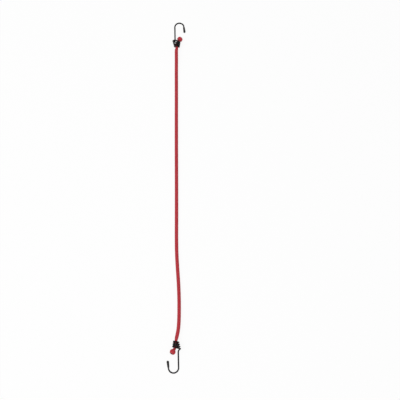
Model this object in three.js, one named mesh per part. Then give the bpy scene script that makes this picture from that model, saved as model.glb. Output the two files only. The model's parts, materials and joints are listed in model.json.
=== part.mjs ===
// An elastic luggage cord with a coiled wire hook on each end, lying on a flat surface.
// Millimetres, +Z up. +Y runs along the cord, from the near hook to the far hook.
// The origin is on the surface, in the middle of the object's box.
import * as THREE from "three";

// Driving dimensions
const OVERALL_LENGTH = 813;
const HOOK_SIDE_SHIFT = 1.65; // sideways distance of each coil's axis from the middle, one each way
const COIL_AXIS_HEIGHT = 9.2;

// Cord
const SHEATH_WALL = 0.7;
const SHEATH_SIDES = 12;
const STRANDS_PER_ROW = 4;
const STRAND_SIDE = 0.85;
const STRAND_SPACING = 1.15;
const STRAND_INSET = 1.2; // the strands stop this far inside the sheath's ends
const STRAND_MOST_SPREAD = 1.1;
const CORD_RADIUS = 4;

// Outer radius of the sheath by distance from a cut end, as far as the neck
const FLARE_PROFILE = [
  [0, 4.9],
  [1.4, 5.9],
  [3.4, 6.35],
  [5.2, 6],
  [6.8, 4.9],
  [8.2, 3.7],
  [9.8, 3.05],
];
// Outer radius from the neck on, by distance past the coil's mouth
const NECK_PROFILE = [
  [-4, 3.05],
  [-1.5, 3.15],
  [1.5, 3.2],
  [5, 3.8],
  [11.5, CORD_RADIUS],
];
const NECK_STATIONS = [-15, -11.5, -8, -4, -1.5, 1.5, 5, 11.5, 25, 45, 67];
const LEAST_STEP = 1.2;
const FREE_STEP = 24;

// Hook wire
const WIRE_DIAMETER = 3.2;
const WIRE_SIDES = 8;
const HOOK_REACH = 68.7; // from the coil's cord end to the outside of the bend
const SHANK_OFFSET = 5.6; // from the coil's axis, where the bend starts
const SHANK_ROOT_OFFSET = 4.8;
const SHANK_ROOT_REACH = 24.5; // from the coil's cord end to where the shank is straight
const SHANK_ROOT_DROP = 6; // below the coil's axis
const BEND_RADIUS = 10.7;
const BEND_STEP_DEGREES = 12;
const LEG_FLARE_DEGREES = 7;
const BEND_RISE = 0.8; // the bend climbs this much on its way to the leg
const LEG_RISE = 0.5;
const COIL_TURNS = 3.5;
const COIL_PITCH = 3.6;
const COIL_CORD_END_RADIUS = 5.15;
const COIL_HOOK_END_RADIUS = 7;
const COIL_FAN_WIDTH = 2.2; // by the hook end the turns stand out this much further on the shank's side
const COIL_FAN_LENGTH = 2.8; // and are spread this much further along
const COIL_STEPS_PER_TURN = 18;
const SHANK_CURVE_PULL = 5.5;
const SHANK_CURVE_STEPS = 6;

// Soft cap on the hook's tip
const TIP_REACH = 27; // from the outside of the bend back to the tip
const TIP_LENGTH = 14.5;
const TIP_ROOT_RADIUS = 2.25;
const TIP_END_RADIUS = 2.62;
const TIP_BORE_RADIUS = 1.87;
const TIP_END_WALL = 1.8;
const TIP_SIDES = 12;
const TIP_END_STEPS = 4;
const TIP_BORE_CLEARANCE = 0.3;

// Crimp ring on the cord's neck, inside the coil
const CRIMP_FROM_MOUTH = 8.2;
const CRIMP_INNER_RADIUS = 3.55;
const CRIMP_THICKNESS = 0.5;
const CRIMP_LENGTH = 3.2;
const CRIMP_GAP_DEGREES = 16;
const CRIMP_CURVE_STEPS = 20;

// The cord's tails, each in its hook's own frame, from the cut end back through the coil's mouth at 0
const NEAR_TAIL_ROUTE = [
  [8.4, 26.3, 3.6],
  [6.9, 23.7, 2.6],
  [5.3, 21.0, 1.8],
  [3.6, 18.0, 1.1],
  [1.8, 14.6, 0.5],
  [0.4, 10.8, 0.1],
  [0, 6.4, 0],
  [0, 0, 0],
  [-1, -5, 0],
];
const NEAR_TAIL_LENGTH = 28.7; // along the cord, from the cut to the coil's mouth
const FAR_TAIL_ROUTE = [
  [8.6, 24.7, -1.2],
  [7.0, 22.3, -0.9],
  [5.2, 19.7, -0.6],
  [3.3, 16.8, -0.35],
  [1.5, 13.7, -0.15],
  [0.3, 10.3, 0],
  [0, 6, 0],
  [0, 0, 0],
  [-1, -5, 0],
];
const FAR_TAIL_LENGTH = 27;

// The cord between the two coils, from the near one to the far one
const LYING_ROUTE = [
  [3.95, -326.5, 9.0],
  [5.55, -318.5, 8.4],
  [6.65, -309.5, 7.5],
  [7.25, -300, 6.4],
  [7.65, -285, 5.1],
  [7.65, -268, 4.4],
  [7.25, -245, 4.1],
  [5.85, -215, 4.05],
  [3.55, -183, 4.05],
  [1.55, -150, 4.05],
  [0.75, -115, 4.05],
  [0.45, -65, 4.05],
  [0.05, -10, 4.05],
  [-0.55, 45, 4.05],
  [-1.15, 100, 4.05],
  [-1.65, 160, 4.05],
  [-2.05, 215, 4.05],
  [-2.35, 250, 4.1],
  [-2.55, 268, 4.4],
  [-2.65, 285, 5.1],
  [-2.65, 300, 6.4],
  [-2.65, 309.5, 7.5],
  [-2.75, 318.5, 8.4],
  [-2.85, 326.5, 9.0],
];

const UP = new THREE.Vector3(0, 0, 1);
const WIRE_RADIUS = WIRE_DIAMETER / 2;
const WIRE_FLAT_RADIUS = WIRE_RADIUS * Math.cos(Math.PI / WIRE_SIDES);

const braid = () => new THREE.MeshStandardMaterial({ color: 0xb2343f, roughness: 0.85, metalness: 0 });
const latex = () => new THREE.MeshStandardMaterial({ color: 0xcbb98f, roughness: 0.7, metalness: 0 });
const blackWire = () => new THREE.MeshStandardMaterial({ color: 0x202022, roughness: 0.45, metalness: 0.4 });
const blackVinyl = () => new THREE.MeshStandardMaterial({ color: 0x17171a, roughness: 0.6, metalness: 0 });
const darkSteel = () => new THREE.MeshStandardMaterial({ color: 0x3a3a3c, roughness: 0.55, metalness: 0.8 });

function named(name, geometry, material) {
  const mesh = new THREE.Mesh(geometry, material);
  mesh.name = name;
  return mesh;
}

// A regular outline with a flat side facing along its first axis.
function regularOutline(sides, radius) {
  return Array.from({ length: sides }, (_, side) => {
    const angle = ((side + 0.5) / sides) * 2 * Math.PI;
    return new THREE.Vector2(radius * Math.cos(angle), radius * Math.sin(angle));
  });
}

function squareOutline(middle, side) {
  const half = side / 2;
  const corners = [[half, half], [-half, half], [-half, -half], [half, -half]];
  return corners.map(([x, y]) => new THREE.Vector2(middle.x + x, middle.y + y));
}

// Middle points with their directions and cross axes: upright ones first, then carried along without twist.
function stationsAlong(middles, directions, uprightCount) {
  const normal = new THREE.Vector3();
  const turn = new THREE.Quaternion();
  return middles.map((middle, i) => {
    if (i < uprightCount) {
      normal.copy(UP);
    } else {
      turn.setFromUnitVectors(directions[i - 1], directions[i]);
      normal.applyQuaternion(turn);
    }
    normal.addScaledVector(directions[i], -normal.dot(directions[i])).normalize();
    const binormal = new THREE.Vector3().crossVectors(directions[i], normal);
    return { middle, direction: directions[i], normal: normal.clone(), binormal };
  });
}

// At each point of a broken line, the direction halfway between the runs that meet there.
function directionsOf(points) {
  return points.map((point, i) => {
    const before = points[Math.max(i - 1, 0)];
    const after = points[Math.min(i + 1, points.length - 1)];
    const coming = point.clone().sub(before).normalize();
    const going = after.clone().sub(point).normalize();
    return coming.add(going).normalize();
  });
}

function ringAt(station, outline, scale = 1) {
  return outline.map((corner) =>
    station.middle
      .clone()
      .addScaledVector(station.normal, corner.x * scale)
      .addScaledVector(station.binormal, corner.y * scale),
  );
}

// A closed body with its skin through a row of rings. A tube's last ring joins its first, a rod has flat ends.
function bodyThrough(rings, isTube) {
  const size = rings[0].length;
  const rows = isTube ? rings.length : rings.length - 1;
  const triangles = [];
  for (let row = 0; row < rows; row++) {
    const here = row * size;
    const there = ((row + 1) % rings.length) * size;
    for (let side = 0; side < size; side++) {
      const next = (side + 1) % size;
      triangles.push(here + side, here + next, there + next);
      triangles.push(here + side, there + next, there + side);
    }
  }
  const last = (rings.length - 1) * size;
  for (let side = 1; side < size - 1 && !isTube; side++) {
    triangles.push(0, side + 1, side);
    triangles.push(last, last + side, last + side + 1);
  }
  const places = rings.flat().flatMap((point) => point.toArray());
  const geometry = new THREE.BufferGeometry();
  geometry.setAttribute("position", new THREE.Float32BufferAttribute(places, 3));
  geometry.setIndex(triangles);
  geometry.computeVertexNormals();
  return geometry;
}

// Hook: in its own frame +Y runs along the coil's axis away from the cord, and the tip is on the +X side.
const BEND_MIDDLE = new THREE.Vector3(
  BEND_RADIUS - SHANK_OFFSET,
  HOOK_REACH - WIRE_FLAT_RADIUS - BEND_RADIUS,
  WIRE_FLAT_RADIUS - COIL_AXIS_HEIGHT,
);

// The bend lies flat as far as its crown, and then climbs a little so that the thicker tip clears the surface.
function bendPoint(degrees) {
  const angle = THREE.MathUtils.degToRad(degrees);
  const rise = BEND_RISE * THREE.MathUtils.smoothstep(degrees, 90 + BEND_STEP_DEGREES, 180);
  const place = new THREE.Vector3(-BEND_RADIUS * Math.cos(angle), BEND_RADIUS * Math.sin(angle), rise);
  return place.add(BEND_MIDDLE);
}

const LEG_START = bendPoint(180 - LEG_FLARE_DEGREES);
const LEG_LENGTH =
  (LEG_START.y - HOOK_REACH + TIP_REACH) / Math.cos(THREE.MathUtils.degToRad(LEG_FLARE_DEGREES));
const LEG_DIRECTION = new THREE.Vector3(
  Math.sin(THREE.MathUtils.degToRad(LEG_FLARE_DEGREES)),
  -Math.cos(THREE.MathUtils.degToRad(LEG_FLARE_DEGREES)),
  LEG_RISE / LEG_LENGTH,
).normalize();

const legPoint = (distance) => LEG_START.clone().addScaledVector(LEG_DIRECTION, distance);

// Share 0 is the wire's free end beside the cord, and share 1 is where it leaves for the shank.
function coilPoint(share) {
  const angle = Math.PI - (1 - share) * COIL_TURNS * 2 * Math.PI;
  const fan = (share * (1 - Math.cos(angle))) / 2;
  const evenRadius = THREE.MathUtils.lerp(COIL_CORD_END_RADIUS, COIL_HOOK_END_RADIUS, share);
  const radius = evenRadius + COIL_FAN_WIDTH * fan;
  const along = WIRE_RADIUS + share * COIL_TURNS * COIL_PITCH + COIL_FAN_LENGTH * fan;
  return new THREE.Vector3(radius * Math.cos(angle), along, radius * Math.sin(angle));
}

// The curve that takes the straight shank round into the coil's last turn.
function shankCurve() {
  const shankRoot = new THREE.Vector3(-SHANK_ROOT_OFFSET, SHANK_ROOT_REACH, -SHANK_ROOT_DROP);
  const coilEnd = coilPoint(1);
  const ontoShank = shankRoot.clone().sub(bendPoint(0)).normalize();
  const climbRate = (COIL_PITCH + COIL_FAN_LENGTH / COIL_TURNS) / (2 * Math.PI);
  const offCoil = new THREE.Vector3(0, climbRate, -COIL_HOOK_END_RADIUS - COIL_FAN_WIDTH).normalize();
  return new THREE.CubicBezierCurve3(
    shankRoot,
    shankRoot.clone().addScaledVector(ontoShank, SHANK_CURVE_PULL),
    coilEnd.clone().addScaledVector(offCoil, SHANK_CURVE_PULL),
    coilEnd,
  );
}

// The wire's middle line, from the tip round the bend and along the shank.
function hookRoute() {
  const route = [legPoint(LEG_LENGTH - TIP_END_WALL), LEG_START];
  const bendSteps = Math.floor((180 - LEG_FLARE_DEGREES) / BEND_STEP_DEGREES);
  for (let step = bendSteps; step >= 0; step--) {
    route.push(bendPoint(step * BEND_STEP_DEGREES));
  }
  return route;
}

// The rest of that line, from the shank's root round into the coil and on to the wire's free end.
function coilRoute() {
  const route = shankCurve().getPoints(SHANK_CURVE_STEPS);
  const coilSteps = Math.round(COIL_TURNS * COIL_STEPS_PER_TURN);
  for (let step = coilSteps - 1; step >= 0; step--) {
    route.push(coilPoint(step / coilSteps));
  }
  return route;
}

// Least clear space between one turn of the coil and the next, from points along the wire's middle.
function leastCoilGap() {
  const count = 600;
  const points = Array.from({ length: count + 1 }, (_, i) => coilPoint(i / count));
  const halfTurn = Math.round(count / COIL_TURNS / 2);
  let least = Infinity;
  for (let i = 0; i <= count; i++) {
    for (let j = i + halfTurn; j <= count; j++) {
      least = Math.min(least, points[i].distanceTo(points[j]));
    }
  }
  return least - WIRE_DIAMETER;
}

function hookGeometry() {
  const upright = hookRoute();
  const route = [...upright, ...coilRoute()];
  const outline = regularOutline(WIRE_SIDES, WIRE_RADIUS);
  const stations = stationsAlong(route, directionsOf(route), upright.length);
  return bodyThrough(stations.map((station) => ringAt(station, outline)), false);
}

// A dipped cap: a sleeve with a blind bore that swells towards its rounded end.
function tipGeometry() {
  const boreDepth = TIP_LENGTH - TIP_END_WALL + TIP_BORE_CLEARANCE;
  const profile = [[0, boreDepth], [TIP_BORE_RADIUS, boreDepth], [TIP_BORE_RADIUS, 0], [TIP_ROOT_RADIUS, 0]];
  for (let step = 0; step < TIP_END_STEPS; step++) {
    const angle = ((step / TIP_END_STEPS) * Math.PI) / 2;
    const along = TIP_LENGTH - TIP_END_RADIUS + TIP_END_RADIUS * Math.sin(angle);
    profile.push([TIP_END_RADIUS * Math.cos(angle), along]);
  }
  profile.push([0, TIP_LENGTH]);
  return new THREE.LatheGeometry(profile.map(([x, y]) => new THREE.Vector2(x, y)), TIP_SIDES);
}

function makeHook(name, side) {
  const hook = new THREE.Group();
  const middleToCoil = OVERALL_LENGTH / 2 - HOOK_REACH;
  hook.position.set(-side * HOOK_SIDE_SHIFT, side * middleToCoil, COIL_AXIS_HEIGHT);
  hook.rotation.z = side > 0 ? 0 : Math.PI;
  const tip = named(name + "_hook_tip", tipGeometry(), blackVinyl());
  tip.position.copy(legPoint(LEG_LENGTH - TIP_LENGTH));
  tip.quaternion.setFromUnitVectors(new THREE.Vector3(0, 1, 0), LEG_DIRECTION);
  hook.add(named(name + "_hook", hookGeometry(), blackWire()), tip);
  hook.updateMatrix();
  return hook;
}

const nearHook = makeHook("near", -1);
const farHook = makeHook("far", 1);

// Cord: one route from the near tail, along the surface, to the far tail.
function cordCurve() {
  const points = (rows) => rows.map((row) => new THREE.Vector3(...row));
  const nearTail = points(NEAR_TAIL_ROUTE).map((point) => point.applyMatrix4(nearHook.matrix));
  const farTail = points(FAR_TAIL_ROUTE).map((point) => point.applyMatrix4(farHook.matrix));
  const route = [...nearTail, ...points(LYING_ROUTE), ...farTail.reverse()];
  const curve = new THREE.CatmullRomCurve3(route, false, "centripetal");
  curve.arcLengthDivisions = 2000;
  return curve;
}

const cord = cordCurve();
const CORD_LENGTH = cord.getLength();

// Distances from a cut end at which the cord's section is set, closer together on the flare and in the coil.
function endDistances(tailLength) {
  const flare = FLARE_PROFILE.map(([distance]) => distance);
  const neckStart = flare[flare.length - 1] + LEAST_STEP;
  const rest = NECK_STATIONS.map((distance) => tailLength + distance);
  return [...flare, ...rest.filter((distance) => distance > neckStart)];
}

function cordStations() {
  const nearEnd = endDistances(NEAR_TAIL_LENGTH);
  const farEnd = endDistances(FAR_TAIL_LENGTH).map((distance) => CORD_LENGTH - distance).reverse();
  const freeStart = nearEnd[nearEnd.length - 1];
  const freeLength = farEnd[0] - freeStart;
  const freeSteps = Math.ceil(freeLength / FREE_STEP);
  const free = Array.from({ length: freeSteps - 1 }, (_, i) => freeStart + ((i + 1) / freeSteps) * freeLength);
  const distances = [...nearEnd, ...free, ...farEnd];
  const middles = distances.map((distance) => cord.getPointAt(distance / CORD_LENGTH));
  const directions = distances.map((distance) => cord.getTangentAt(distance / CORD_LENGTH));
  const stations = stationsAlong(middles, directions, 1);
  return stations.map((station, i) => {
    const isNear = distances[i] < CORD_LENGTH / 2;
    const fromEnd = isNear ? distances[i] : CORD_LENGTH - distances[i];
    const tailLength = isNear ? NEAR_TAIL_LENGTH : FAR_TAIL_LENGTH;
    return { ...station, fromEnd, radius: sheathRadius(fromEnd, tailLength) };
  });
}

function sheathRadius(fromEnd, tailLength) {
  const isFlare = fromEnd <= FLARE_PROFILE[FLARE_PROFILE.length - 1][0];
  return isFlare ? radiusAt(FLARE_PROFILE, fromEnd) : radiusAt(NECK_PROFILE, fromEnd - tailLength);
}

function radiusAt(profile, distance) {
  const after = profile.findIndex(([place]) => place >= distance);
  if (after <= 0) {
    return after < 0 ? profile[profile.length - 1][1] : profile[0][1];
  }
  const [startPlace, startRadius] = profile[after - 1];
  const [endPlace, endRadius] = profile[after];
  return THREE.MathUtils.mapLinear(distance, startPlace, endPlace, startRadius, endRadius);
}

function sheathGeometry(stations) {
  const outline = regularOutline(SHEATH_SIDES, 1);
  const outside = stations.map((station) => ringAt(station, outline, station.radius));
  const bore = stations.map((station) => ringAt(station, outline, station.radius - SHEATH_WALL));
  return bodyThrough([...outside, ...bore.reverse()], true);
}

// A square-cut rubber strand, drawn in where the sheath is squeezed.
function strandGeometry(stations, middle) {
  const outline = squareOutline(middle, STRAND_SIDE);
  const freeBore = CORD_RADIUS - SHEATH_WALL;
  const rings = stations.map((station) => {
    const spread = (station.radius - SHEATH_WALL) / freeBore;
    const ring = ringAt(station, outline, Math.min(spread, STRAND_MOST_SPREAD));
    const inset = station.fromEnd > 0 ? 0 : STRAND_INSET;
    const inwards = station === stations[0] ? inset : -inset;
    return ring.map((point) => point.addScaledVector(station.direction, inwards));
  });
  return bodyThrough(rings, false);
}

// A strip rolled round the cord's neck, with its two ends nearly meeting.
function crimpGeometry() {
  const halfGap = THREE.MathUtils.degToRad(CRIMP_GAP_DEGREES) / 2;
  const shape = new THREE.Shape();
  const outerRadius = CRIMP_INNER_RADIUS + CRIMP_THICKNESS;
  shape.absarc(0, 0, outerRadius, halfGap, 2 * Math.PI - halfGap, false);
  shape.absarc(0, 0, CRIMP_INNER_RADIUS, 2 * Math.PI - halfGap, halfGap, true);
  const geometry = new THREE.ExtrudeGeometry(shape, {
    depth: CRIMP_LENGTH,
    bevelEnabled: false,
    curveSegments: CRIMP_CURVE_STEPS,
  });
  return geometry.translate(0, 0, -CRIMP_LENGTH / 2);
}

function makeCrimp(name, distance) {
  const crimp = named(name + "_cord_crimp", crimpGeometry(), darkSteel());
  crimp.position.copy(cord.getPointAt(distance / CORD_LENGTH));
  crimp.quaternion.setFromUnitVectors(UP, cord.getTangentAt(distance / CORD_LENGTH));
  return crimp;
}

const bungeeCord = new THREE.Group();
const stations = cordStations();
bungeeCord.add(named("braided_sheath", sheathGeometry(stations), braid()));
for (let row = 0; row < STRANDS_PER_ROW; row++) {
  for (let column = 0; column < STRANDS_PER_ROW; column++) {
    const number = String(row * STRANDS_PER_ROW + column + 1).padStart(2, "0");
    const first = -((STRANDS_PER_ROW - 1) / 2) * STRAND_SPACING;
    const middle = new THREE.Vector2(first + column * STRAND_SPACING, first + row * STRAND_SPACING);
    bungeeCord.add(named("rubber_strand_" + number, strandGeometry(stations, middle), latex()));
  }
}
bungeeCord.add(nearHook, makeCrimp("near", NEAR_TAIL_LENGTH - CRIMP_FROM_MOUTH));
bungeeCord.add(farHook, makeCrimp("far", CORD_LENGTH - FAR_TAIL_LENGTH + CRIMP_FROM_MOUTH));

console.log("least gap between turns of a hook's coil: " + leastCoilGap().toFixed(2) + " mm");
console.log("length of cord along its middle: " + CORD_LENGTH.toFixed(1) + " mm");

export default bungeeCord;
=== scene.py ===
"""Bungee cord: a braided elastic cord with a coiled wire hook and a dipped tip on each end.

Metres, in the part's own frame: +Y runs from the near hook to the far hook, and +Z is up.
"""

import json
import math

import bmesh
import bpy
import numpy as np
from mathutils import Matrix, Vector
from mathutils.geometry import interpolate_bezier


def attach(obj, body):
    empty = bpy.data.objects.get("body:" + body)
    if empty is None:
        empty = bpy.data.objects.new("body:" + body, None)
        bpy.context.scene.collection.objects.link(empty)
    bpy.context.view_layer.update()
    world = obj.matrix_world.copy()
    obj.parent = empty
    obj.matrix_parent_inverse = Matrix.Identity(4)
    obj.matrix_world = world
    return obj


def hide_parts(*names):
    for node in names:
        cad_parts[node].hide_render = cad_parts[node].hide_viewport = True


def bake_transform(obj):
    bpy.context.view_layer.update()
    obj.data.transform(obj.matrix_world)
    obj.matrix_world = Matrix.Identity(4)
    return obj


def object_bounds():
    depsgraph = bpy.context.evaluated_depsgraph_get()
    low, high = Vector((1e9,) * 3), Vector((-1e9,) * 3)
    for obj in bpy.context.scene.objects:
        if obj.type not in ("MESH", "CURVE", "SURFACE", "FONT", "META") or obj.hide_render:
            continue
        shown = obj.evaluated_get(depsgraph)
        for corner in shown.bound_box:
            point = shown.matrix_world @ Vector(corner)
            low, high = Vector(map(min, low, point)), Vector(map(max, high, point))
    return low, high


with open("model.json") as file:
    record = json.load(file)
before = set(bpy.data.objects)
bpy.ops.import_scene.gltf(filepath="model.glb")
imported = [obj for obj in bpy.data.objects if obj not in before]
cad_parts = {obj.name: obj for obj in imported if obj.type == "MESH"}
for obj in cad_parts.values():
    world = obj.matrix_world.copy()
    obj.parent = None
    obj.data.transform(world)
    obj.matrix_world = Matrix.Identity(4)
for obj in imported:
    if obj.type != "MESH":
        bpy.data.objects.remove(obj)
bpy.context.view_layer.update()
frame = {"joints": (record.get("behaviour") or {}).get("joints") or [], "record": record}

# Places that the frame gives
joint_place = {joint["name"]: Vector(joint["pos_m"]) for joint in frame["joints"] if "pos_m" in joint}
NEAR_COIL = joint_place["near_hook_swivel"]
FAR_COIL = joint_place["far_hook_swivel"]
HOOK_MATRIX = {
    "near": Matrix.Translation(NEAR_COIL) @ Matrix.Rotation(math.pi, 4, "Z"),
    "far": Matrix.Translation(FAR_COIL),
}
HOOK_BODY = {"near": "hook_near", "far": "hook_far"}
END_BODY = {"near": "cord", "far": "stretched_end"}
CORD_NODES = frame["record"]["physics"]["cord_nodes"]

# Camera: the photograph's view, from above the near end
CAMERA_PLACE = (0.05275, -0.3704, 1.4826)
CAMERA_ELEVATION = math.radians(77)
CAMERA_LENS_MM = 60.92

# Cord: its tails, each in its hook's own frame from the cut end through the coil's mouth at 0
TAIL_ROUTE = {
    "near": [
        (0.0084, 0.0263, 0.0036),
        (0.0069, 0.0237, 0.0026),
        (0.0053, 0.0210, 0.0018),
        (0.0036, 0.0180, 0.0011),
        (0.0018, 0.0146, 0.0005),
        (0.0004, 0.0108, 0.0001),
        (0.0, 0.0064, 0.0),
        (0.0, 0.0, 0.0),
        (-0.001, -0.005, 0.0),
    ],
    "far": [
        (0.0086, 0.0247, -0.0012),
        (0.0070, 0.0223, -0.0009),
        (0.0052, 0.0197, -0.0006),
        (0.0033, 0.0168, -0.00035),
        (0.0015, 0.0137, -0.00015),
        (0.0003, 0.0103, 0.0),
        (0.0, 0.0060, 0.0),
        (0.0, 0.0, 0.0),
        (-0.001, -0.005, 0.0),
    ],
}
# Along the cord, from the cut to the coil's mouth
TAIL_LENGTH = {"near": 0.0287, "far": 0.0270}
# The cord's route on the floor
LYING_ROUTE = [
    (0.00395, -0.3265, 0.0090),
    (0.00555, -0.3185, 0.0084),
    (0.00665, -0.3095, 0.0075),
    (0.00725, -0.300, 0.0064),
    (0.00765, -0.285, 0.0051),
    (0.00765, -0.268, 0.0044),
    (0.00725, -0.245, 0.0041),
    (0.00585, -0.215, 0.00405),
    (0.00355, -0.183, 0.00405),
    (0.00155, -0.150, 0.00405),
    (0.00075, -0.115, 0.00405),
    (0.00045, -0.065, 0.00405),
    (0.00005, -0.010, 0.00405),
    (-0.00055, 0.045, 0.00405),
    (-0.00115, 0.100, 0.00405),
    (-0.00165, 0.160, 0.00405),
    (-0.00205, 0.215, 0.00405),
    (-0.00235, 0.250, 0.0041),
    (-0.00255, 0.268, 0.0044),
    (-0.00265, 0.285, 0.0051),
    (-0.00265, 0.300, 0.0064),
    (-0.00265, 0.3095, 0.0075),
    (-0.00275, 0.3185, 0.0084),
    (-0.00285, 0.3265, 0.0090),
]
# Distance from a cut end, and the cord's radius there
FLARE_SWELL = [
    (0.0, 0.0048),
    (0.0014, 0.0058),
    (0.0034, 0.0063),
    (0.0052, 0.0059),
    (0.0068, 0.00475),
    (0.0082, 0.0037),
    (0.0098, 0.0031),
]
# Distance past a coil's mouth, and the cord's radius there
NECK_SWELL = [
    (-0.004, 0.0031),
    (-0.0015, 0.0032),
    (0.0015, 0.00325),
    (0.005, 0.00385),
    (0.0115, 0.0040),
]
ROUTE_STEPS = 40

# Braid: yarns wound both ways, each over two and under two of the others. Shares are of the cord's radius
YARNS_EACH_WAY = 8
BRAID_LAY = 0.020
BRAID_STEP = 0.00065
BRAID_END_STEP = 0.00033
YARN_MIDDLE_SHARE = 0.855
YARN_WEAVE_SHARE = 0.072
YARN_WAVE_STEEPNESS = 1.35
YARN_WIDTH_SHARE = 0.252
YARN_THICKNESS_SHARE = 0.078
YARN_SIDES = 5
BRAID_CORE_SHARE = 0.79
BRAID_CORE_STEP = 0.0025
CORE_SIDES = 12
BRAID_SEED = 7
# The cord's map: each yarn lies in this many rows, one above the other, with the core's row on top
ROWS_PER_YARN = 2
ROW_MARGIN = 0.03
ROW_END_MARGIN = 0.005
# The two sides of a yarn that face the core take only this share of its row each
HIDDEN_SIDE_SHARE = 0.08

# Sealed cord end: distance out from the cut, and the melted rim's radius there, round to the dished middle
SEAL_SHAPE = [
    (-0.0026, 0.0),
    (-0.0026, 0.0042),
    (-0.0019, 0.0052),
    (-0.0011, 0.0056),
    (-0.0003, 0.0055),
    (0.0005, 0.0051),
    (0.0011, 0.0045),
    (0.0014, 0.0038),
    (0.0012, 0.0030),
    (0.0008, 0.0021),
    (0.0005, 0.0011),
    (0.0004, 0.0),
]
SEAL_SIDES = 64
SEAL_STEPS = 4
SEAL_LUMP_HEIGHT = 0.0006
SEAL_LUMP_SIZE = 420.0

# Hook: in its own frame +Y runs along the coil's axis away from the cord, and the tip is on the +X side
WIRE_RADIUS = 0.0016
WIRE_REST_HEIGHT = 0.00148
WIRE_SIDES = 24
# The wire's cut end narrows to a share of its radius, over the rest of its last step
WIRE_END_SHARE = 0.72
WIRE_END_START = 0.6
HOOK_REACH = 0.0687
SHANK_OFFSET = 0.0056
SHANK_ROOT_OFFSET = 0.0048
SHANK_ROOT_REACH = 0.0245
SHANK_ROOT_DROP = 0.006
SHANK_CURVE_PULL = 0.0055
SHANK_CURVE_STEPS = 20
BEND_RADIUS = 0.0107
BEND_STEPS = 60
BEND_RISE = 0.0008
BEND_RISE_START = math.radians(102)
LEG_FLARE = math.radians(7)
LEG_RISE = 0.0005
COIL_TURNS = 3.5
COIL_PITCH = 0.0036
COIL_CORD_END_RADIUS = 0.00515
COIL_HOOK_END_RADIUS = 0.0070
# By the hook end the turns stand out and are spread this much further on the shank's side
COIL_FAN_WIDTH = 0.0022
COIL_FAN_LENGTH = 0.0028
COIL_STEPS_PER_TURN = 40

# Dipped tip: distance from its open end, and its radius there
TIP_REACH = 0.027
TIP_LENGTH = 0.0145
TIP_BORE_RADIUS = 0.00163
TIP_BORE_DEPTH = 0.0128
TIP_SHAPE = [
    (0.0, 0.00170),
    (0.0003, 0.00203),
    (0.0012, 0.00217),
    (0.0040, 0.00227),
    (0.0080, 0.00244),
    (0.0110, 0.00261),
    (0.0126, 0.00257),
    (0.0138, 0.00198),
    (0.0142, 0.00128),
    (0.01445, 0.00066),
    (0.0145, 0.0),
]
TIP_SIDES = 32
TIP_STEPS = 5

# Crimp: a strip rolled round the cord's neck
CRIMP_FROM_MOUTH = 0.0082
CRIMP_INNER_RADIUS = 0.00355
CRIMP_THICKNESS = 0.0005
CRIMP_LENGTH = 0.0032
CRIMP_GAP = math.radians(16)
CRIMP_EDGE_RADIUS = 0.00015
CRIMP_EDGE_STEPS = 4
CRIMP_STEPS = 72

# The edge of a rubbed mark fades over this much of its noise's range
RUB_FADE = 0.06

# Colours, linear
YARN_BRIGHT = (0.62, 0.032, 0.050, 1)
# The next colour is the yarn's red in painted shade, for where a yarn dives under the others and at its
# edges
YARN_PAINTED_SHADE = (0.22, 0.009, 0.014, 1)
YARN_FADED = (0.68, 0.075, 0.088, 1)
MELT_RED = (0.50, 0.022, 0.030, 1)
MELT_SCORCHED = (0.085, 0.009, 0.010, 1)
WIRE_BLACK = (0.0042, 0.0042, 0.0046, 1)
WIRE_DUSTY = (0.0095, 0.0095, 0.0102, 1)
WIRE_BARE = (0.16, 0.16, 0.165, 1)
VINYL_BLACK = (0.0045, 0.0045, 0.005, 1)
VINYL_RUBBED = (0.013, 0.013, 0.014, 1)
STEEL_DARK = (0.045, 0.045, 0.047, 1)
STEEL_WORN = (0.16, 0.16, 0.165, 1)
FLOOR_WHITE = (0.97, 0.97, 0.97, 1)
WHITE = (1, 1, 1, 1)

# Studio
FLOOR_HALF = 6.0
FLOOR_GLOW_SHARE = 0.9
KEY_PLACE = (-0.7, -0.4, 2.3)
KEY_SIZE = 2.4
KEY_WATTS = 35
SKY_STRENGTH = 0.47


# Node helpers, for geometry and for materials alike
def feed(tree, socket, value):
    """Links a socket to what another node gives, or sets it to a plain value."""
    if isinstance(value, bpy.types.NodeSocket):
        tree.links.new(value, socket)
    else:
        socket.default_value = value


def add_node(tree, kind, feeds=None, **settings):
    node = tree.nodes.new(kind)
    for name, value in settings.items():
        setattr(node, name, value)
    for key, value in (feeds or {}).items():
        feed(tree, node.inputs[key], value)
    return node


def calc(tree, operation, *values):
    return add_node(tree, "ShaderNodeMath", dict(enumerate(values)), operation=operation).outputs[0]


def vector_calc(tree, operation, *values):
    return add_node(tree, "ShaderNodeVectorMath", dict(enumerate(values)), operation=operation).outputs[0]


def scaled(tree, vector, factor):
    feeds = {"Vector": vector, "Scale": factor}
    return add_node(tree, "ShaderNodeVectorMath", feeds, operation="SCALE").outputs[0]


def clamped(tree, value, low, high):
    return add_node(tree, "ShaderNodeClamp", {"Value": value, "Min": low, "Max": high}).outputs[0]


def in_use(sockets):
    """The first socket that the node's settings show."""
    return next(socket for socket in sockets if socket.enabled)


def new_tree(name, kind, inputs, outputs):
    """A node group with named sockets, with its inputs' and outputs' sockets."""
    tree = bpy.data.node_groups.new(name, kind)
    for socket_name, socket_type in inputs:
        tree.interface.new_socket(socket_name, in_out="INPUT", socket_type="NodeSocket" + socket_type)
    for socket_name, socket_type in outputs:
        tree.interface.new_socket(socket_name, in_out="OUTPUT", socket_type="NodeSocket" + socket_type)
    given = add_node(tree, "NodeGroupInput").outputs
    result = add_node(tree, "NodeGroupOutput").inputs
    return tree, given, result


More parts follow.
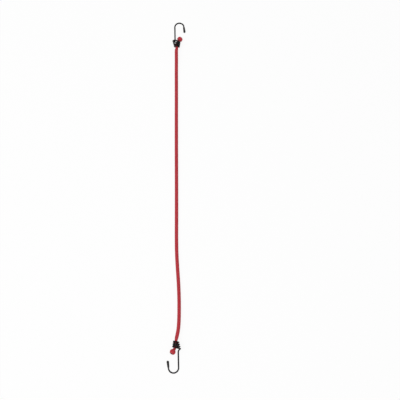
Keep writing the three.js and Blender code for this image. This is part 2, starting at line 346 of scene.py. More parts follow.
# Lines
def smooth_points(points, steps):
    """Points along a centripetal Catmull-Rom curve through the given ones."""
    given = np.array(points, float)
    held = np.vstack([2 * given[0] - given[1], given, 2 * given[-1] - given[-2]])
    spans = np.linalg.norm(np.diff(held, axis=0), axis=1) ** 0.5
    t = np.linspace(0, 1, steps, endpoint=False)[:, None]
    runs = []
    for i in range(len(given) - 1):
        before, start, end, after = held[i : i + 4]
        a, b, c = spans[i : i + 3]
        leave = b * ((start - before) / a - (end - before) / (a + b) + (end - start) / b)
        arrive = b * ((end - start) / b - (after - start) / (b + c) + (after - end) / c)
        square = 3 * (end - start) - 2 * leave - arrive
        cube = 2 * (start - end) + leave + arrive
        runs.append(start + leave * t + square * t**2 + cube * t**3)
    return np.vstack([*runs, given[-1:]])


def spaced_points(points, step, end_length, end_step):
    """The same line with points at an even step, closer at the ends, and how far along it each one is."""
    lengths = np.linalg.norm(np.diff(points, axis=0), axis=1)
    along = np.concatenate([[0], np.cumsum(lengths)])
    end = np.linspace(0, end_length, round(end_length / end_step), endpoint=False)
    middle_length = along[-1] - 2 * end_length
    middle = np.linspace(end_length, along[-1] - end_length, math.ceil(middle_length / step) + 1)
    wanted = np.concatenate([end, middle, along[-1] - end[::-1]])
    spaced = np.stack([np.interp(wanted, along, column) for column in points.T], axis=1)
    return spaced, wanted


def route_object(name, points, radii):
    """A curve of straight runs through the points, with a radius at each."""
    data = bpy.data.curves.new(name, "CURVE")
    data.dimensions = "3D"
    spline = data.splines.new("POLY")
    spline.points.add(len(points) - 1)
    places = np.hstack([np.array(points, float), np.ones((len(points), 1))])
    spline.points.foreach_set("co", places.ravel())
    spline.points.foreach_set("radius", np.array(radii, float))
    return linked_object(name, data)


def linked_object(name, data):
    made = bpy.data.objects.new(name, data)
    bpy.context.scene.collection.objects.link(made)
    return made


def grown_piece(name, tree, values, source=None):
    """The mesh that a geometry tree makes, from a source object or from nothing, as a plain piece."""
    source = source or linked_object(name + "_source", bpy.data.meshes.new(name + "_source"))
    modifier = source.modifiers.new("shape", "NODES")
    modifier.node_group = tree
    sockets = {item.name: item.identifier for item in tree.interface.items_tree if item.in_out == "INPUT"}
    for socket_name, value in values.items():
        modifier[sockets[socket_name]] = value
    evaluated = source.evaluated_get(bpy.context.evaluated_depsgraph_get())
    mesh = bpy.data.meshes.new_from_object(evaluated)
    mesh.name = name
    mesh.materials.clear()
    mesh.materials.append(values["Material"])
    source.modifiers.remove(modifier)
    bpy.data.objects.remove(source)
    return linked_object(name, mesh)


# Geometry trees
def braid_tree():
    """Yarns wound both ways round a route over a plain core, in proportion to the route's radius."""
    tree, given, result = new_tree(
        "braid_over_route",
        "GeometryNodeTree",
        [
            ("Route", "Geometry"),
            ("Yarns each way", "Int"),
            ("Lay length", "Float"),
            ("Middle share", "Float"),
            ("Weave share", "Float"),
            ("Width share", "Float"),
            ("Thickness share", "Float"),
            ("Core share", "Float"),
            ("Core step", "Float"),
            ("Seed", "Int"),
            ("Material", "Material"),
        ],
        [("Mesh", "Geometry")],
    )
    radius = add_node(tree, "GeometryNodeInputRadius").outputs[0]
    facts = {
        "Radius": ("FLOAT", radius),
        "Length": ("FLOAT", add_node(tree, "GeometryNodeSplineParameter").outputs["Length"]),
        "Tangent": ("VECTOR", add_node(tree, "GeometryNodeInputTangent").outputs[0]),
        "Normal": ("VECTOR", add_node(tree, "GeometryNodeInputNormal").outputs["Normal"]),
    }
    route = add_node(tree, "GeometryNodeCaptureAttribute", {"Geometry": given["Route"]}, domain="POINT")
    for fact_name, (kind, value) in facts.items():
        route.capture_items.new(kind, fact_name)
        feed(tree, route.inputs[fact_name], value)
    held = route.outputs

    each_way = given["Yarns each way"]
    copies = {"Geometry": held["Geometry"], "Amount": calc(tree, "MULTIPLY", each_way, 2)}
    yarns = add_node(tree, "GeometryNodeDuplicateElements", copies, domain="SPLINE")
    index = yarns.outputs["Duplicate Index"]
    is_second = calc(tree, "GREATER_THAN", index, calc(tree, "SUBTRACT", each_way, 0.5))
    hand = calc(tree, "MULTIPLY_ADD", is_second, -2, 1)
    number = calc(tree, "MODULO", index, each_way)
    turns = calc(tree, "MULTIPLY", hand, calc(tree, "DIVIDE", held["Length"], given["Lay length"]))
    start = calc(tree, "DIVIDE", number, each_way)
    angle = calc(tree, "MULTIPLY", calc(tree, "ADD", turns, start), math.tau)

    # A yarn crosses two others in each half of its wave
    waves = calc(tree, "DIVIDE", calc(tree, "MULTIPLY_ADD", turns, each_way, number), 2)
    wave = calc(tree, "COSINE", calc(tree, "MULTIPLY_ADD", waves, math.tau, -math.tau / 8))
    swing = calc(tree, "MULTIPLY", hand, wave)
    lift = clamped(tree, calc(tree, "MULTIPLY", swing, YARN_WAVE_STEEPNESS), -1, 1)
    binormal = vector_calc(tree, "CROSS_PRODUCT", held["Tangent"], held["Normal"])
    outwards = vector_calc(
        tree,
        "ADD",
        scaled(tree, held["Normal"], calc(tree, "COSINE", angle)),
        scaled(tree, binormal, calc(tree, "SINE", angle)),
    )
    share = calc(tree, "MULTIPLY_ADD", lift, given["Weave share"], given["Middle share"])
    offset = scaled(tree, outwards, calc(tree, "MULTIPLY", share, held["Radius"]))
    placed = add_node(
        tree, "GeometryNodeSetPosition", {"Geometry": yarns.outputs["Geometry"], "Offset": offset}
    )
    faced = add_node(
        tree, "GeometryNodeSetCurveNormal", {"Curve": placed.outputs[0], "Normal": outwards}, mode="FREE"
    )
    shade = in_use(add_node(tree, "FunctionNodeRandomValue", {"ID": index, "Seed": given["Seed"]}).outputs)
    yarn_facts = {"along": held["Length"], "crown": lift, "shade": shade, "yarn": index}
    yarn_line = faced.outputs[0]
    for fact_name, value in yarn_facts.items():
        yarn_line = stored(tree, yarn_line, fact_name, value)

    # The yarn's section is a flat lens with its ridge inwards: X is its thickness and Y its width
    circle = add_node(tree, "GeometryNodeCurvePrimitiveCircle", {"Resolution": YARN_SIDES, "Radius": 1.0})
    section_place = add_node(tree, "GeometryNodeInputPosition").outputs[0]
    across = add_node(tree, "ShaderNodeSeparateXYZ", {0: section_place})
    section = stored(tree, circle.outputs["Curve"], "across", across.outputs["Y"])
    section = stored(tree, section, "side", add_node(tree, "GeometryNodeInputIndex").outputs[0])
    size = add_node(
        tree, "ShaderNodeCombineXYZ", {"X": given["Thickness share"], "Y": given["Width share"], "Z": 1.0}
    )
    lens = add_node(
        tree,
        "GeometryNodeTransform",
        {"Geometry": section, "Rotation": (0, 0, math.pi), "Scale": size.outputs[0]},
    )
    yarn_mesh = add_node(
        tree,
        "GeometryNodeCurveToMesh",
        {"Curve": yarn_line, "Profile Curve": lens.outputs[0], "Scale": held["Radius"], "Fill Caps": True},
    )

    coarse = add_node(
        tree,
        "GeometryNodeResampleCurve",
        {"Curve": given["Route"], "Length": given["Core step"]},
        mode="LENGTH",
    )
    core_line = stored(tree, coarse.outputs[0], "along", facts["Length"][1])
    ring = add_node(tree, "GeometryNodeCurvePrimitiveCircle", {"Resolution": CORE_SIDES, "Radius": 1.0})
    core_ring = stored(
        tree, ring.outputs["Curve"], "side", add_node(tree, "GeometryNodeInputIndex").outputs[0]
    )
    core_mesh = add_node(
        tree,
        "GeometryNodeCurveToMesh",
        {
            "Curve": core_line,
            "Profile Curve": core_ring,
            "Scale": calc(tree, "MULTIPLY", radius, given["Core share"]),
            "Fill Caps": True,
        },
    )
    # The core's crown of -2 has the braid material paint it in shade, darker than any yarn
    core = stored(tree, core_mesh.outputs[0], "crown", -2.0)
    core = stored(tree, core, "yarn", -1.0)
    both = add_node(tree, "GeometryNodeJoinGeometry")
    tree.links.new(core, both.inputs[0])
    tree.links.new(yarn_mesh.outputs[0], both.inputs[0])
    finish_tree(tree, both.outputs[0], given["Material"], result["Mesh"])
    return tree


def stored(tree, geometry, name, value):
    """The geometry with a named number on its points."""
    feeds = {"Geometry": geometry, "Name": name, "Value": value}
    settings = {"data_type": "FLOAT", "domain": "POINT"}
    return add_node(tree, "GeometryNodeStoreNamedAttribute", feeds, **settings).outputs[0]


def finish_tree(tree, geometry, material, output):
    """Smooth shading, real meshes and the material, as the last steps of a geometry tree."""
    smooth = add_node(tree, "GeometryNodeSetShadeSmooth", {"Geometry": geometry})
    real = add_node(tree, "GeometryNodeRealizeInstances", {"Geometry": smooth.outputs[0]})
    dressed = add_node(tree, "GeometryNodeSetMaterial", {"Geometry": real.outputs[0], "Material": material})
    tree.links.new(dressed.outputs[0], output)


def rod_tree():
    """A round rod along a route, as thick as the route's radius says."""
    tree, given, result = new_tree(
        "rod_along_route",
        "GeometryNodeTree",
        [("Route", "Geometry"), ("Sides", "Int"), ("Material", "Material")],
        [("Mesh", "Geometry")],
    )
    ring = add_node(tree, "GeometryNodeCurvePrimitiveCircle", {"Resolution": given["Sides"], "Radius": 1.0})
    radius = add_node(tree, "GeometryNodeInputRadius").outputs[0]
    rod = add_node(
        tree,
        "GeometryNodeCurveToMesh",
        {
            "Curve": given["Route"],
            "Profile Curve": ring.outputs["Curve"],
            "Scale": radius,
            "Fill Caps": True,
        },
    )
    finish_tree(tree, rod.outputs[0], given["Material"], result["Mesh"])
    return tree


def lump_tree():
    """A shape with soft lumps all over, as melted yarn sets."""
    tree, given, result = new_tree(
        "lumps_over_shape",
        "GeometryNodeTree",
        [("Shape", "Geometry"), ("Lump height", "Float"), ("Lump size", "Float"), ("Material", "Material")],
        [("Mesh", "Geometry")],
    )
    noise = add_node(tree, "ShaderNodeTexNoise", {"Scale": given["Lump size"], "Detail": 1.0})
    rise = calc(tree, "MULTIPLY", calc(tree, "SUBTRACT", noise.outputs[0], 0.5), given["Lump height"])
    normal = add_node(tree, "GeometryNodeInputNormal").outputs["Normal"]
    lumpy = add_node(
        tree, "GeometryNodeSetPosition", {"Geometry": given["Shape"], "Offset": scaled(tree, normal, rise)}
    )
    finish_tree(tree, lumpy.outputs[0], given["Material"], result["Mesh"])
    return tree


def strip_tree():
    """A flat strip with rounded edges, rolled into a ring that doesn't quite close."""
    tree, given, result = new_tree(
        "rolled_strip",
        "GeometryNodeTree",
        [
            ("Inner radius", "Float"),
            ("Thickness", "Float"),
            ("Length", "Float"),
            ("Gap", "Float"),
            ("Edge radius", "Float"),
            ("Steps", "Int"),
            ("Material", "Material"),
        ],
        [("Mesh", "Geometry")],
    )
    arc = add_node(
        tree,
        "GeometryNodeCurveArc",
        {
            "Resolution": given["Steps"],
            "Radius": calc(tree, "MULTIPLY_ADD", given["Thickness"], 0.5, given["Inner radius"]),
            "Start Angle": calc(tree, "MULTIPLY", given["Gap"], 0.5),
            "Sweep Angle": calc(tree, "SUBTRACT", math.tau, given["Gap"]),
        },
        mode="RADIUS",
    )
    upright = add_node(tree, "GeometryNodeSetCurveNormal", {"Curve": arc.outputs["Curve"]}, mode="Z_UP")
    section = add_node(
        tree,
        "GeometryNodeCurvePrimitiveQuadrilateral",
        {"Width": given["Thickness"], "Height": given["Length"]},
        mode="RECTANGLE",
    )
    rounded = add_node(
        tree,
        "GeometryNodeFilletCurve",
        {"Curve": section.outputs[0], "Count": CRIMP_EDGE_STEPS, "Radius": given["Edge radius"]},
        mode="POLY",
    )
    strip = add_node(
        tree,
        "GeometryNodeCurveToMesh",
        {"Curve": upright.outputs[0], "Profile Curve": rounded.outputs[0], "Fill Caps": True},
    )
    finish_tree(tree, strip.outputs[0], given["Material"], result["Mesh"])
    return tree


# Material helpers
def new_material(name):
    material = bpy.data.materials.new(name)
    material.use_nodes = True
    tree = material.node_tree
    return material, tree, tree.nodes["Principled BSDF"].inputs


def attribute(tree, name):
    return add_node(tree, "ShaderNodeAttribute", attribute_name=name).outputs["Fac"]


def remap(tree, value, low, high, new_low=0.0, new_high=1.0):
    feeds = {"Value": value, "From Min": low, "From Max": high, "To Min": new_low, "To Max": new_high}
    return add_node(tree, "ShaderNodeMapRange", feeds).outputs[0]


def mix_colours(tree, factor, first, second):
    feeds = {"Factor": factor, "A": first, "B": second}
    node = tree.nodes.new("ShaderNodeMix")
    node.data_type = "RGBA"
    sockets = {socket.name: socket for socket in node.inputs if socket.enabled}
    for name, value in feeds.items():
        feed(tree, sockets[name], value)
    return in_use(node.outputs)


def add_bump(tree, sockets, height, distance, strength):
    feeds = {"Height": height, "Distance": distance, "Strength": strength}
    tree.links.new(add_node(tree, "ShaderNodeBump", feeds).outputs[0], sockets["Normal"])


def grain_group():
    """Fine unevenness of a coated, moulded or plated surface, at a broad and a fine scale."""
    tree, given, result = new_tree(
        "fine_grain",
        "ShaderNodeTree",
        [("Broad scale", "Float"), ("Fine scale", "Float")],
        [("Mottle", "Float"), ("Height", "Float")],
    )
    place = add_node(tree, "ShaderNodeTexCoord").outputs["Object"]
    broad = {"Vector": place, "Scale": given["Broad scale"], "Detail": 3.0, "Roughness": 0.55}
    fine = {"Vector": place, "Scale": given["Fine scale"], "Detail": 2.0, "Roughness": 0.5}
    tree.links.new(add_node(tree, "ShaderNodeTexNoise", broad).outputs[0], result["Mottle"])
    tree.links.new(add_node(tree, "ShaderNodeTexNoise", fine).outputs[0], result["Height"])
    return tree


def scuff_group():
    """Small rubbed marks: 1 on a mark and 0 beside it."""
    tree, given, result = new_tree(
        "rubbed_marks",
        "ShaderNodeTree",
        [("Scale", "Float"), ("Least", "Float")],
        [("Mask", "Float")],
    )
    place = add_node(tree, "ShaderNodeTexCoord").outputs["Object"]
    noise = {"Vector": place, "Scale": given["Scale"], "Detail": 6.0, "Roughness": 0.72, "Distortion": 1.2}
    value = add_node(tree, "ShaderNodeTexNoise", noise).outputs[0]
    most = calc(tree, "ADD", given["Least"], RUB_FADE)
    tree.links.new(remap(tree, value, given["Least"], most), result["Mask"])
    return tree


def use_group(tree, group, values):
    node = tree.nodes.new("ShaderNodeGroup")
    node.node_tree = group
    for name, value in values.items():
        feed(tree, node.inputs[name], value)
    return node.outputs


def braid_material():
    """Red yarn: streaky filaments along each yarn, with painted shade where a yarn dives under the others
    and towards its edges.
    """
    material, tree, sockets = new_material("braided_yarn")
    across = attribute(tree, "across")
    along = attribute(tree, "along")
    shade = attribute(tree, "shade")
    streak_place = add_node(
        tree,
        "ShaderNodeCombineXYZ",
        {
            "X": calc(tree, "MULTIPLY", across, 4.5),
            "Y": calc(tree, "MULTIPLY", along, 190.0),
            "Z": calc(tree, "MULTIPLY", shade, 53.0),
        },
    )
    noise = {"Vector": streak_place.outputs[0], "Scale": 1.0, "Detail": 3.0, "Roughness": 0.6}
    streak = add_node(tree, "ShaderNodeTexNoise", noise).outputs[0]
    # Painted shade: darker where the yarn dives under the others (low crown) and towards its edges; the
    # streaks and each yarn's random tone are the yarn's own
    edge = calc(tree, "POWER", calc(tree, "ABSOLUTE", across), 2.0)
    height = remap(tree, attribute(tree, "crown"), -1.1, 0.7)
    painted_light_and_tone = calc(tree, "MULTIPLY", height, remap(tree, edge, 0.2, 1.0, 1.0, 0.45))
    painted_light_and_tone = calc(tree, "MULTIPLY", painted_light_and_tone, remap(tree, streak, 0.3, 0.65, 0.72, 1.0))
    painted_light_and_tone = calc(tree, "MULTIPLY", painted_light_and_tone, remap(tree, shade, 0.0, 1.0, 0.88, 1.0))
    colour = mix_colours(tree, painted_light_and_tone, YARN_PAINTED_SHADE, YARN_BRIGHT)
    place = add_node(tree, "ShaderNodeTexCoord").outputs["Object"]
    patches = {"Vector": place, "Scale": 34.0, "Detail": 5.0, "Roughness": 0.65}
    faded = add_node(tree, "ShaderNodeTexNoise", patches).outputs[0]
    faded = calc(tree, "MULTIPLY", remap(tree, faded, 0.48, 0.75), remap(tree, streak, 0.4, 0.7, 0.0, 0.45))
    tree.links.new(mix_colours(tree, faded, colour, YARN_FADED), sockets["Base Color"])
    tree.links.new(remap(tree, streak, 0.3, 0.7, 0.78, 0.52), sockets["Roughness"])
    sockets["Sheen Weight"].default_value = 0.12
    sockets["Sheen Roughness"].default_value = 0.4
    sockets["Specular IOR Level"].default_value = 0.35
    add_bump(tree, sockets, streak, 0.00012, 0.55)
    return material


def melt_material(grain):
    """Yarn ends melted together: smooth and glossy, scorched in the middle and in places on the rim."""
    material, tree, sockets = new_material("melted_yarn")
    found = use_group(tree, grain, {"Broad scale": 260.0, "Fine scale": 900.0})
    middle = remap(tree, attribute(tree, "rim"), 0.40, 0.78, 1.0, 0.0)
    scorch = calc(tree, "MAXIMUM", middle, remap(tree, found["Mottle"], 0.48, 0.72, 0.0, 0.7))
    tree.links.new(mix_colours(tree, scorch, MELT_RED, MELT_SCORCHED), sockets["Base Color"])
    tree.links.new(remap(tree, found["Mottle"], 0.35, 0.65, 0.3, 0.52), sockets["Roughness"])
    sockets["Specular IOR Level"].default_value = 0.4
    add_bump(tree, sockets, found["Height"], 0.0003, 0.5)
    return material


def wire_material(grain, scuffs):
    """Satin black coating on steel wire, with the metal just showing where it has rubbed."""
    material, tree, sockets = new_material("coated_wire")
    found = use_group(tree, grain, {"Broad scale": 140.0, "Fine scale": 1500.0})
    rubbed = use_group(tree, scuffs, {"Scale": 210.0, "Least": 0.66})["Mask"]
    coat = mix_colours(tree, remap(tree, found["Mottle"], 0.35, 0.7), WIRE_BLACK, WIRE_DUSTY)
    tree.links.new(mix_colours(tree, rubbed, coat, WIRE_BARE), sockets["Base Color"])
    tree.links.new(rubbed, sockets["Metallic"])
    tree.links.new(remap(tree, found["Mottle"], 0.3, 0.7, 0.3, 0.44), sockets["Roughness"])
    sockets["Specular IOR Level"].default_value = 0.1
    add_bump(tree, sockets, found["Height"], 0.00005, 0.35)
    return material


def vinyl_material(grain, scuffs):
    """Soft black dipped vinyl with a faint pebble and rubbed patches."""
    material, tree, sockets = new_material("dipped_vinyl")
    found = use_group(tree, grain, {"Broad scale": 190.0, "Fine scale": 2300.0})
    rubbed = use_group(tree, scuffs, {"Scale": 320.0, "Least": 0.58})["Mask"]
    tree.links.new(mix_colours(tree, rubbed, VINYL_BLACK, VINYL_RUBBED), sockets["Base Color"])
    tree.links.new(remap(tree, found["Mottle"], 0.3, 0.7, 0.46, 0.64), sockets["Roughness"])
    sockets["Specular IOR Level"].default_value = 0.2
    add_bump(tree, sockets, found["Height"], 0.00006, 0.5)
    return material


def dark_steel_material(grain, scuffs):
    """Phosphated steel: a dull dark bloom with paler scratches."""
    material, tree, sockets = new_material("phosphated_steel")
    found = use_group(tree, grain, {"Broad scale": 420.0, "Fine scale": 2600.0})
    scratched = use_group(tree, scuffs, {"Scale": 620.0, "Least": 0.6})["Mask"]
    bloom = mix_colours(tree, remap(tree, found["Mottle"], 0.35, 0.65), STEEL_DARK, STEEL_WORN)
    tree.links.new(mix_colours(tree, scratched, bloom, STEEL_WORN), sockets["Base Color"])
    tree.links.new(remap(tree, found["Mottle"], 0.3, 0.7, 0.42, 0.62), sockets["Roughness"])
    sockets["Metallic"].default_value = 0.8
    add_bump(tree, sockets, found["Height"], 0.00003, 0.4)
    return material


# Camera
def make_camera():
    data = bpy.data.cameras.new("camera")
    data.lens = CAMERA_LENS_MM
    camera = linked_object("camera", data)
    camera.location = CAMERA_PLACE
    camera.rotation_euler = (math.pi / 2 - CAMERA_ELEVATION, 0, 0)
    bpy.context.scene.camera = camera


# Cord
def cord_line():
    """The cord's middle line from the near cut end to the far one, with distances and radii along it."""
    tails = {end: [HOOK_MATRIX[end] @ Vector(point) for point in TAIL_ROUTE[end]] for end in HOOK_MATRIX}
    points = [*tails["near"], *LYING_ROUTE, *reversed(tails["far"])]
    route = smooth_points(points, ROUTE_STEPS)
    line, along = spaced_points(route, BRAID_STEP, FLARE_SWELL[-1][0], BRAID_END_STEP)
    flare = smooth_points(FLARE_SWELL, ROUTE_STEPS)
    neck = smooth_points(NECK_SWELL, ROUTE_STEPS)
    radii = []
    for end, from_end in (("near", along), ("far", along[-1] - along)):
        on_flare = np.interp(from_end, flare[:, 0], flare[:, 1])
        on_neck = np.interp(from_end - TAIL_LENGTH[end], neck[:, 0], neck[:, 1])
        radii.append(np.where(from_end < FLARE_SWELL[-1][0], on_flare, on_neck))
    return line, along, np.where(along < along[-1] / 2, *radii)


def map_cord(mesh):
    """Lays the yarns out in straight rows on their own map, with the seam on each yarn's hidden side."""
    starts = np.zeros(len(mesh.polygons), int)
    counts = np.zeros(len(mesh.polygons), int)
    points = np.zeros(len(mesh.loops), int)
    mesh.polygons.foreach_get("loop_start", starts)
    mesh.polygons.foreach_get("loop_total", counts)
    mesh.loops.foreach_get("vertex_index", points)
    facts = {}
    for name in ("yarn", "side", "along"):
        values = np.zeros(len(mesh.vertices))
        mesh.attributes[name].data.foreach_get("value", values)
        facts[name] = values[points]
    is_core = facts["yarn"] < 0
    sides = np.where(is_core, CORE_SIDES, YARN_SIDES)
    closes_round = np.repeat(np.maximum.reduceat(facts["side"], starts), counts) > sides - 1.5
    side = np.where(closes_round & (facts["side"] < 0.5), sides, facts["side"])
    length = facts["along"].max()
    face_middle = np.repeat(np.add.reduceat(facts["along"], starts) / counts, counts)
    part = np.where(is_core, 0, np.minimum(face_middle / length * ROWS_PER_YARN, ROWS_PER_YARN - 1e-6) // 1)
    yarn_count = facts["yarn"].max() + 1
    row = np.where(is_core, yarn_count * ROWS_PER_YARN, facts["yarn"] * ROWS_PER_YARN + part)
    reach = facts["along"] / length * np.where(is_core, 1, ROWS_PER_YARN) - part
    corners = [0, 1, YARN_SIDES - 1, YARN_SIDES]
    yarn_height = np.interp(side, corners, [0, HIDDEN_SIDE_SHARE, 1 - HIDDEN_SIDE_SHARE, 1])
    height = ROW_MARGIN + (1 - 2 * ROW_MARGIN) * np.where(is_core, side / sides, yarn_height)
    across_map = ROW_END_MARGIN + (1 - 2 * ROW_END_MARGIN) * reach
    up_map = (row + height) / (yarn_count * ROWS_PER_YARN + 1)
    places = np.stack([across_map, up_map], axis=1)
    mesh.uv_layers.new(name="OFBake").data.foreach_set("uv", places.ravel())


def make_cord(line, radii, material):
    values = {
        "Yarns each way": YARNS_EACH_WAY,
        "Lay length": BRAID_LAY,
        "Middle share": YARN_MIDDLE_SHARE,
        "Weave share": YARN_WEAVE_SHARE,
        "Width share": YARN_WIDTH_SHARE,
        "Thickness share": YARN_THICKNESS_SHARE,
        "Core share": BRAID_CORE_SHARE,
        "Core step": BRAID_CORE_STEP,
        "Seed": BRAID_SEED,
        "Material": material,
    }
    cord = grown_piece("elastic_cord", braid_tree(), values, route_object("cord_route", line, radii))
    map_cord(cord.data)
    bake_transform(cord)
    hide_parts(*CORD_NODES)
    return cord


def make_seal(end, line, lumps, material):
    """The melted end of the yarns: a rolled rim round a dished middle."""
    name = end + "_cord_seal"
    outline = [SEAL_SHAPE[0], *smooth_points(SEAL_SHAPE[1:], SEAL_STEPS)]
    mesh = turned_mesh(name + "_shape", outline, SEAL_SIDES)
    rim = [math.hypot(point.co.x, point.co.y) for point in mesh.vertices]
    mesh.attributes.new("rim", "FLOAT", "POINT").data.foreach_set("value", np.array(rim) / max(rim))
    cut, inside = (line[0], line[2]) if end == "near" else (line[-1], line[-3])
    turn = Vector(cut - inside).to_track_quat("Z", "Y").to_matrix().to_4x4()
    mesh.transform(Matrix.Translation(cut) @ turn)
    values = {"Lump height": SEAL_LUMP_HEIGHT, "Lump size": SEAL_LUMP_SIZE, "Material": material}
    seal = grown_piece(name, lumps, values, linked_object(mesh.name, mesh))
    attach(seal, END_BODY[end])
    return seal


# Hooks
BEND_MIDDLE = Vector((
    BEND_RADIUS - SHANK_OFFSET,
    HOOK_REACH - WIRE_REST_HEIGHT - BEND_RADIUS,
    WIRE_REST_HEIGHT - NEAR_COIL.z,
))


def bend_point(angle):
    """A point of the bend's middle line. It lies flat to past its crown and then climbs a little."""
    share = min(max((angle - BEND_RISE_START) / (math.pi - BEND_RISE_START), 0), 1)
    rise = BEND_RISE * share * share * (3 - 2 * share)
    return BEND_MIDDLE + Vector((-BEND_RADIUS * math.cos(angle), BEND_RADIUS * math.sin(angle), rise))


LEG_START = bend_point(math.pi - LEG_FLARE)
LEG_LENGTH = (LEG_START.y - HOOK_REACH + TIP_REACH) / math.cos(LEG_FLARE)
LEG_DIRECTION = Vector((math.sin(LEG_FLARE), -math.cos(LEG_FLARE), LEG_RISE / LEG_LENGTH)).normalized()
TIP_PLACE = LEG_START + LEG_DIRECTION * (LEG_LENGTH - TIP_LENGTH)


def coil_point(share):
    """A point of the coil's middle line: share 0 is the wire's free end, and at 1 the shank starts."""
    angle = math.pi - (1 - share) * COIL_TURNS * math.tau
    fan = share * (1 - math.cos(angle)) / 2
    even_radius = COIL_CORD_END_RADIUS + share * (COIL_HOOK_END_RADIUS - COIL_CORD_END_RADIUS)
    radius = even_radius + COIL_FAN_WIDTH * fan
    reach = WIRE_RADIUS + share * COIL_TURNS * COIL_PITCH + COIL_FAN_LENGTH * fan
    return Vector((radius * math.cos(angle), reach, radius * math.sin(angle)))


def hook_points():
    """The wire's middle line: from inside the tip round the bend, along the shank and round the coil."""
    points = [TIP_PLACE + LEG_DIRECTION * TIP_BORE_DEPTH]
    for angle in np.linspace(math.pi - LEG_FLARE, 0, BEND_STEPS + 1):
        points.append(bend_point(angle))
    shank_root = Vector((-SHANK_ROOT_OFFSET, SHANK_ROOT_REACH, -SHANK_ROOT_DROP))
    onto_shank = (shank_root - points[-1]).normalized()
    climb_rate = (COIL_PITCH + COIL_FAN_LENGTH / COIL_TURNS) / math.tau
    off_coil = Vector((0, climb_rate, -COIL_HOOK_END_RADIUS - COIL_FAN_WIDTH)).normalized()
    coil_end = coil_point(1)
    points += interpolate_bezier(
        shank_root,
        shank_root + onto_shank * SHANK_CURVE_PULL,
        coil_end + off_coil * SHANK_CURVE_PULL,
        coil_end,
        SHANK_CURVE_STEPS,
    )
    for share in np.linspace(1, 0, round(COIL_TURNS * COIL_STEPS_PER_TURN) + 1)[1:]:
        points.append(coil_point(share))
    points.insert(-1, points[-2].lerp(points[-1], WIRE_END_START))
    return points


def make_hook(end, rod, material):
    points = [HOOK_MATRIX[end] @ point for point in hook_points()]
    radii = np.full(len(points), WIRE_RADIUS)
    radii[-1] *= WIRE_END_SHARE
    values = {"Sides": WIRE_SIDES, "Material": material}
    name = end + "_wire_hook"
    hook = grown_piece(name, rod, values, route_object(name + "_route", points, radii))
    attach(hook, HOOK_BODY[end])
    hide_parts(end + "_hook")


def turned_mesh(name, outline, sides):
    """A closed mesh turned about Z: each row of the outline is a distance along Z and a radius there."""
    made = bmesh.new()
    angles = np.linspace(0, math.tau, sides, endpoint=False)
    rings = [[made.verts.new((0, 0, outline[0][0]))] * sides]
    for along, radius in outline[1:-1]:
        rings.append([made.verts.new((radius * math.cos(a), radius * math.sin(a), along)) for a in angles])
    rings.append([made.verts.new((0, 0, outline[-1][0]))] * sides)
    for here, there in zip(rings, rings[1:]):
        for i in range(sides):
            corners = [here[i], here[i - 1], there[i - 1], there[i]]
            made.faces.new(dict.fromkeys(corners)).smooth = True
    bmesh.ops.recalc_face_normals(made, faces=made.faces)
    mesh = bpy.data.meshes.new(name)
    made.to_mesh(mesh)
    made.free()
    return mesh


def make_tip(end, material):
    """A sleeve of vinyl with a blind bore for the wire, swelling towards its rounded end."""
    bore = [(TIP_BORE_DEPTH, 0.0), (TIP_BORE_DEPTH, TIP_BORE_RADIUS), (0.0, TIP_BORE_RADIUS)]
    outline = [*bore, *smooth_points(TIP_SHAPE, TIP_STEPS)]
    mesh = turned_mesh(end + "_dipped_tip", outline, TIP_SIDES)
    turn = LEG_DIRECTION.to_track_quat("Z", "Y").to_matrix().to_4x4()
    mesh.transform(HOOK_MATRIX[end] @ Matrix.Translation(TIP_PLACE) @ turn)
    mesh.materials.append(material)
    tip = linked_object(mesh.name, mesh)
    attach(tip, HOOK_BODY[end])
    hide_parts(end + "_hook_tip")


def make_crimp(end, line, along, strip, material):
    values = {
        "Inner radius": CRIMP_INNER_RADIUS,
        "Thickness": CRIMP_THICKNESS,
        "Length": CRIMP_LENGTH,
        "Gap": CRIMP_GAP,
        "Edge radius": CRIMP_EDGE_RADIUS,
        "Steps": CRIMP_STEPS,
        "Material": material,
    }
    crimp = grown_piece(end + "_neck_crimp", strip, values)
    from_end = TAIL_LENGTH[end] - CRIMP_FROM_MOUTH
    distance = from_end if end == "near" else along[-1] - from_end
    station = int(np.searchsorted(along, distance))
    direction = Vector(line[station + 1] - line[station - 1]).normalized()
    turn = Vector((0, 0, 1)).rotation_difference(direction).to_matrix().to_4x4()
    crimp.data.transform(Matrix.Translation(line[station]) @ turn)
    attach(crimp, END_BODY[end])
    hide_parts(end + "_cord_crimp")


# Studio
def seen_rays(tree):
    """1 for rays that show the surroundings, seen straight, mirrored or through glass."""
    path = add_node(tree, "ShaderNodeLightPath").outputs
    straight = calc(tree, "MAXIMUM", path["Is Camera Ray"], path["Is Glossy Ray"])
    return calc(tree, "MAXIMUM", straight, path["Is Transmission Ray"])


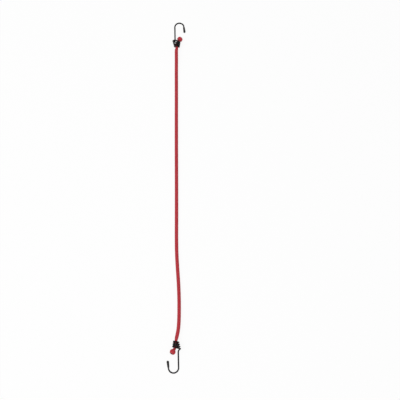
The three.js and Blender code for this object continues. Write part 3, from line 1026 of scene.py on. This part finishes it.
def floor_material():
    """A white floor that shows mostly as plain white, with the object's shadow on it."""
    material = bpy.data.materials.new("studio_floor")
    material.use_nodes = True
    tree = material.node_tree
    tree.nodes.clear()
    lit = add_node(tree, "ShaderNodeBsdfDiffuse", {"Color": FLOOR_WHITE})
    glow = add_node(tree, "ShaderNodeEmission", {"Color": WHITE, "Strength": 1.0})
    share = calc(tree, "MULTIPLY", seen_rays(tree), FLOOR_GLOW_SHARE)
    mixed = add_node(tree, "ShaderNodeMixShader", {0: share, 1: lit.outputs[0], 2: glow.outputs[0]})
    output = add_node(tree, "ShaderNodeOutputMaterial")
    tree.links.new(mixed.outputs[0], output.inputs["Surface"])
    return material


def make_studio():
    low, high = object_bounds()
    mesh = bpy.data.meshes.new("floor")
    corners = [(-1, -1), (1, -1), (1, 1), (-1, 1)]
    mesh.from_pydata([(x * FLOOR_HALF, y * FLOOR_HALF, low.z) for x, y in corners], [], [(0, 1, 2, 3)])
    mesh.materials.append(floor_material())
    linked_object("floor", mesh)

    lamp = bpy.data.lights.new("key", "AREA")
    lamp.size = KEY_SIZE
    lamp.energy = KEY_WATTS
    key = linked_object("key", lamp)
    key.location = KEY_PLACE
    key.rotation_euler = (-Vector(KEY_PLACE)).to_track_quat("-Z", "Y").to_euler()

    world = bpy.data.worlds.new("studio")
    world.use_nodes = True
    tree = world.node_tree
    strength = remap(tree, seen_rays(tree), 0.0, 1.0, SKY_STRENGTH, 1.0)
    background = tree.nodes["Background"]
    background.inputs["Color"].default_value = WHITE
    feed(tree, background.inputs["Strength"], strength)
    bpy.context.scene.world = world
    bpy.context.scene.view_settings.view_transform = "Standard"


make_camera()
line, along, radii = cord_line()
cord = make_cord(line, radii, braid_material())
grain = grain_group()
scuffs = scuff_group()
rod = rod_tree()
lumps = lump_tree()
strip = strip_tree()
melt = melt_material(grain)
wire = wire_material(grain, scuffs)
vinyl = vinyl_material(grain, scuffs)
dark_steel = dark_steel_material(grain, scuffs)
seals = [make_seal(end, line, lumps, melt) for end in HOOK_MATRIX]
for end in HOOK_MATRIX:
    make_hook(end, rod, wire)
    make_tip(end, vinyl)
    make_crimp(end, line, along, strip, dark_steel)
make_studio()
